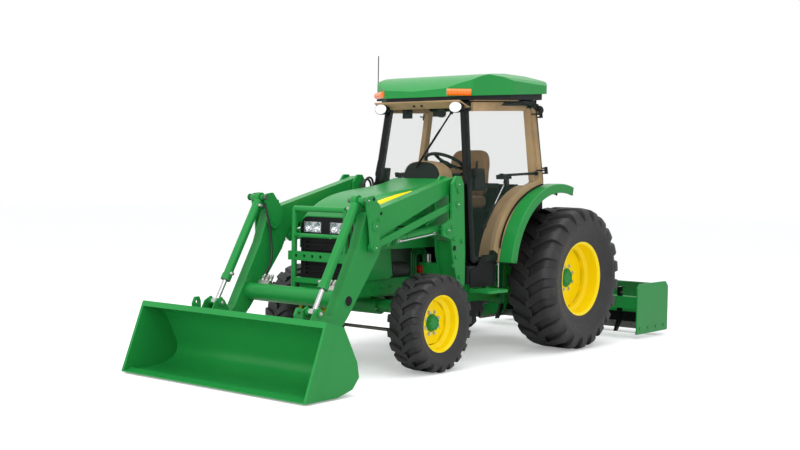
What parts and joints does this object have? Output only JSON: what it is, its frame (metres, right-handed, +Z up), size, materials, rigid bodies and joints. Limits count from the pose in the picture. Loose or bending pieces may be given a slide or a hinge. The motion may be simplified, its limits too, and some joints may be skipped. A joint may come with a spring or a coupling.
{
  "type": "farm tractor with front loader and box blade",
  "caption": "Compact farm tractor with a glazed cab, a self-levelling front loader with bucket, and a box blade on a rear three-point hitch.",
  "frame": {"origin": "on the floor, under the middle of the machine's length and width", "axes": "+X forward, +Y to the machine's left, +Z up"},
  "size_m": [5.132, 1.862, 2.535],
  "materials": {
    "green_paint": "gloss",
    "yellow_paint": "gloss",
    "black_paint": "satin",
    "grey_plastic": "grained",
    "black_plastic": "grained",
    "tan_trim": "grained",
    "seat_cover": "woven",
    "glass": "clear",
    "lamp_glass": "clear",
    "amber_plastic": "clear",
    "tyre": "matt",
    "cast_metal": "rough",
    "bright_steel": "polished",
    "worn_steel": "worn"
  },
  "bodies": {
    "chassis": {"front_frame": "green_paint", "engine": "cast_metal", "transmission": "green_paint", "front_axle": "green_paint", "hood": "green_paint", "grille": "black_plastic", "headlights": "lamp_glass", "cab_frame": "black_paint", "cab_floor": "black_plastic", "roof": "green_paint", "roof_band": "grey_plastic", "cab_glass": "glass", "fenders": "green_paint", "arch_trim": "tan_trim", "seat_cushion": "seat_cover", "seat_back": "seat_cover", "seat_base": "black_plastic", "steering_wheel": "black_plastic", "dash_console": "black_plastic", "steps": "green_paint", "side_tanks": "grey_plastic", "work_lamps": "black_plastic", "amber_lamps": "amber_plastic", "cab_fittings": "black_plastic", "loader_masts": "green_paint", "front_guard": "green_paint", "hitch_frame": "green_paint"},
    "rear_wheel_left": {"rear_rim_left": "yellow_paint", "rear_tyre_left": "tyre"},
    "knuckle_left": {"knuckle_left": "green_paint"},
    "front_wheel_left": {"front_rim_left": "yellow_paint", "front_tyre_left": "tyre"},
    "door_left": {"door_left": "glass", "door_left_fittings": "black_plastic"},
    "rear_wheel_right": {"rear_rim_right": "yellow_paint", "rear_tyre_right": "tyre"},
    "knuckle_right": {"knuckle_right": "green_paint"},
    "front_wheel_right": {"front_rim_right": "yellow_paint", "front_tyre_right": "tyre"},
    "door_right": {"door_right": "glass", "door_right_fittings": "black_plastic"},
    "tie_rod": {"tie_rod": "worn_steel"},
    "level_links": {"level_links": "green_paint"},
    "bellcranks": {"bellcranks": "green_paint"},
    "bucket_pins": {"bucket_pins": "worn_steel"},
    "lift_barrels": {"lift_barrels": "green_paint"},
    "lift_rods": {"lift_rods": "bright_steel"},
    "bucket": {"bucket": "green_paint"},
    "tilt_rods": {"tilt_rods": "bright_steel"},
    "lower_links": {"lower_links": "black_paint"},
    "top_link": {"top_link": "black_paint"},
    "lift_arms": {"lift_arms": "black_paint"},
    "hitch_rods": {"hitch_rods": "black_paint"},
    "boom": {"loader_boom": "green_paint"},
    "tilt_barrels": {"tilt_pins": "worn_steel", "tilt_barrels": "green_paint"},
    "blade": {"box_blade": "green_paint"}
  },
  "joints": [
    {"name": "rear_wheel_left_spin", "type": "hinge", "parent": "chassis", "child": "rear_wheel_left", "pos_m": [-1.004, 0.676, 0.622], "axis": [0, 1, 0], "continuous": true},
    {"name": "rear_wheel_right_spin", "type": "hinge", "parent": "chassis", "child": "rear_wheel_right", "pos_m": [-1.004, -0.676, 0.622], "axis": [0, 1, 0], "continuous": true},
    {"name": "steer_left", "type": "hinge", "parent": "chassis", "child": "knuckle_left", "pos_m": [0.889, 0.56, 0.375], "axis": [0, 0, 1], "range_deg": [-45, 45]},
    {"name": "steer_right", "type": "hinge", "parent": "chassis", "child": "knuckle_right", "pos_m": [0.889, -0.56, 0.375], "axis": [0, 0, 1], "range_deg": [-45.5, 45.5]},
    {"name": "tie_rod_swing", "type": "hinge", "parent": "knuckle_left", "child": "tie_rod", "pos_m": [0.809, 0.56, 0.27], "axis": [0, 0, 1], "range_deg": [-45.5, 45.5]},
    {"name": "front_wheel_left_spin", "type": "hinge", "parent": "knuckle_left", "child": "front_wheel_left", "pos_m": [0.889, 0.646, 0.375], "axis": [0, 1, 0], "continuous": true},
    {"name": "front_wheel_right_spin", "type": "hinge", "parent": "knuckle_right", "child": "front_wheel_right", "pos_m": [0.889, -0.646, 0.375], "axis": [0, 1, 0], "continuous": true},
    {"name": "door_left_swing", "type": "hinge", "parent": "chassis", "child": "door_left", "pos_m": [-0.63159, 0.66569, 1.80209], "axis": [0, -0.1338, 0.991], "range_deg": [0, 70]},
    {"name": "door_right_swing", "type": "hinge", "parent": "chassis", "child": "door_right", "pos_m": [-0.63159, -0.66569, 1.80209], "axis": [0, -0.1338, -0.991], "range_deg": [0, 70]},
    {"name": "boom_lift", "type": "hinge", "parent": "chassis", "child": "boom", "pos_m": [0.501, 0, 1.432], "axis": [0, -1, 0], "range_deg": [-4, 78]},
    {"name": "level_link_swing", "type": "hinge", "parent": "chassis", "child": "level_links", "pos_m": [0.501, 0, 1.275], "axis": [0, -1, 0], "range_deg": [-4.5, 78.5]},
    {"name": "bellcrank_swing", "type": "hinge", "parent": "boom", "child": "bellcranks", "pos_m": [1.496, 0, 1.122], "axis": [0, -1, 0], "range_deg": [-78.5, 4.5]},
    {"name": "tilt_pin_turn", "type": "hinge", "parent": "bellcranks", "child": "tilt_barrels", "pos_m": [1.596, 0, 1.308], "axis": [0, -1, 0], "range_deg": [-4.5, 78.5]},
    {"name": "bucket_pin_turn", "type": "hinge", "parent": "boom", "child": "bucket_pins", "pos_m": [1.936, 0, 0.338], "axis": [0, -1, 0], "range_deg": [-78.5, 4.5]},
    {"name": "lift_barrel_swing", "type": "hinge", "parent": "chassis", "child": "lift_barrels", "pos_m": [0.623, 0, 1.073], "axis": [0, -1, 0], "range_deg": [-4.2, 72.69]},
    {"name": "lift_rod_slide", "type": "slide", "parent": "lift_barrels", "child": "lift_rods", "axis": [0.994, 0, -0.1094], "range_m": [-0.02605, 0.471]},
    {"name": "bucket_tilt", "type": "hinge", "parent": "bucket_pins", "child": "bucket", "pos_m": [1.936, 0, 0.338], "axis": [0, 1, 0], "range_deg": [-28, 55]},
    {"name": "tilt_rod_slide", "type": "slide", "parent": "tilt_barrels", "child": "tilt_rods", "axis": [0.4894, 0, -0.8721], "range_m": [-0.10098, 0.19643]},
    {"name": "hitch_lift", "type": "hinge", "parent": "chassis", "child": "lower_links", "pos_m": [-1.154, 0, 0.43], "axis": [0, 1, 0], "range_deg": [-3.5, 28]},
    {"name": "blade_swing", "type": "hinge", "parent": "lower_links", "child": "blade", "pos_m": [-1.884, 0, 0.47], "axis": [0, 1, 0], "range_deg": [-28.5, 4]},
    {"name": "top_link_swing", "type": "hinge", "parent": "chassis", "child": "top_link", "pos_m": [-1.274, 0, 0.885], "axis": [0, 1, 0], "range_deg": [-4, 28.5]},
    {"name": "lift_arm_swing", "type": "hinge", "parent": "chassis", "child": "lift_arms", "pos_m": [-1.154, 0, 0.87], "axis": [0, 1, 0], "range_deg": [-4, 28.5]},
    {"name": "hitch_rod_swing", "type": "hinge", "parent": "lift_arms", "child": "hitch_rods", "pos_m": [-1.5555, 0, 0.892], "axis": [0, 1, 0], "range_deg": [-28.5, 4]}
  ],
  "couplings": [
    {"joint": "steer_right", "follows": "steer_left", "ratio": 1},
    {"joint": "tie_rod_swing", "follows": "steer_left", "ratio": -1},
    {"joint": "level_link_swing", "follows": "boom_lift", "ratio": 1},
    {"joint": "bellcrank_swing", "follows": "boom_lift", "ratio": -1},
    {"joint": "tilt_pin_turn", "follows": "boom_lift", "ratio": 1},
    {"joint": "bucket_pin_turn", "follows": "boom_lift", "ratio": -1},
    {"joint": "lift_barrel_swing", "follows": "boom_lift", "ratio": 0.92549},
    {"joint": "lift_rod_slide", "follows": "boom_lift", "m_per_rad": 0.34451},
    {"joint": "tilt_rod_slide", "follows": "bucket_tilt", "m_per_rad": 0.20254},
    {"joint": "blade_swing", "follows": "hitch_lift", "ratio": -1},
    {"joint": "top_link_swing", "follows": "hitch_lift", "ratio": 1},
    {"joint": "lift_arm_swing", "follows": "hitch_lift", "ratio": 1},
    {"joint": "hitch_rod_swing", "follows": "hitch_lift", "ratio": -1}
  ]
}
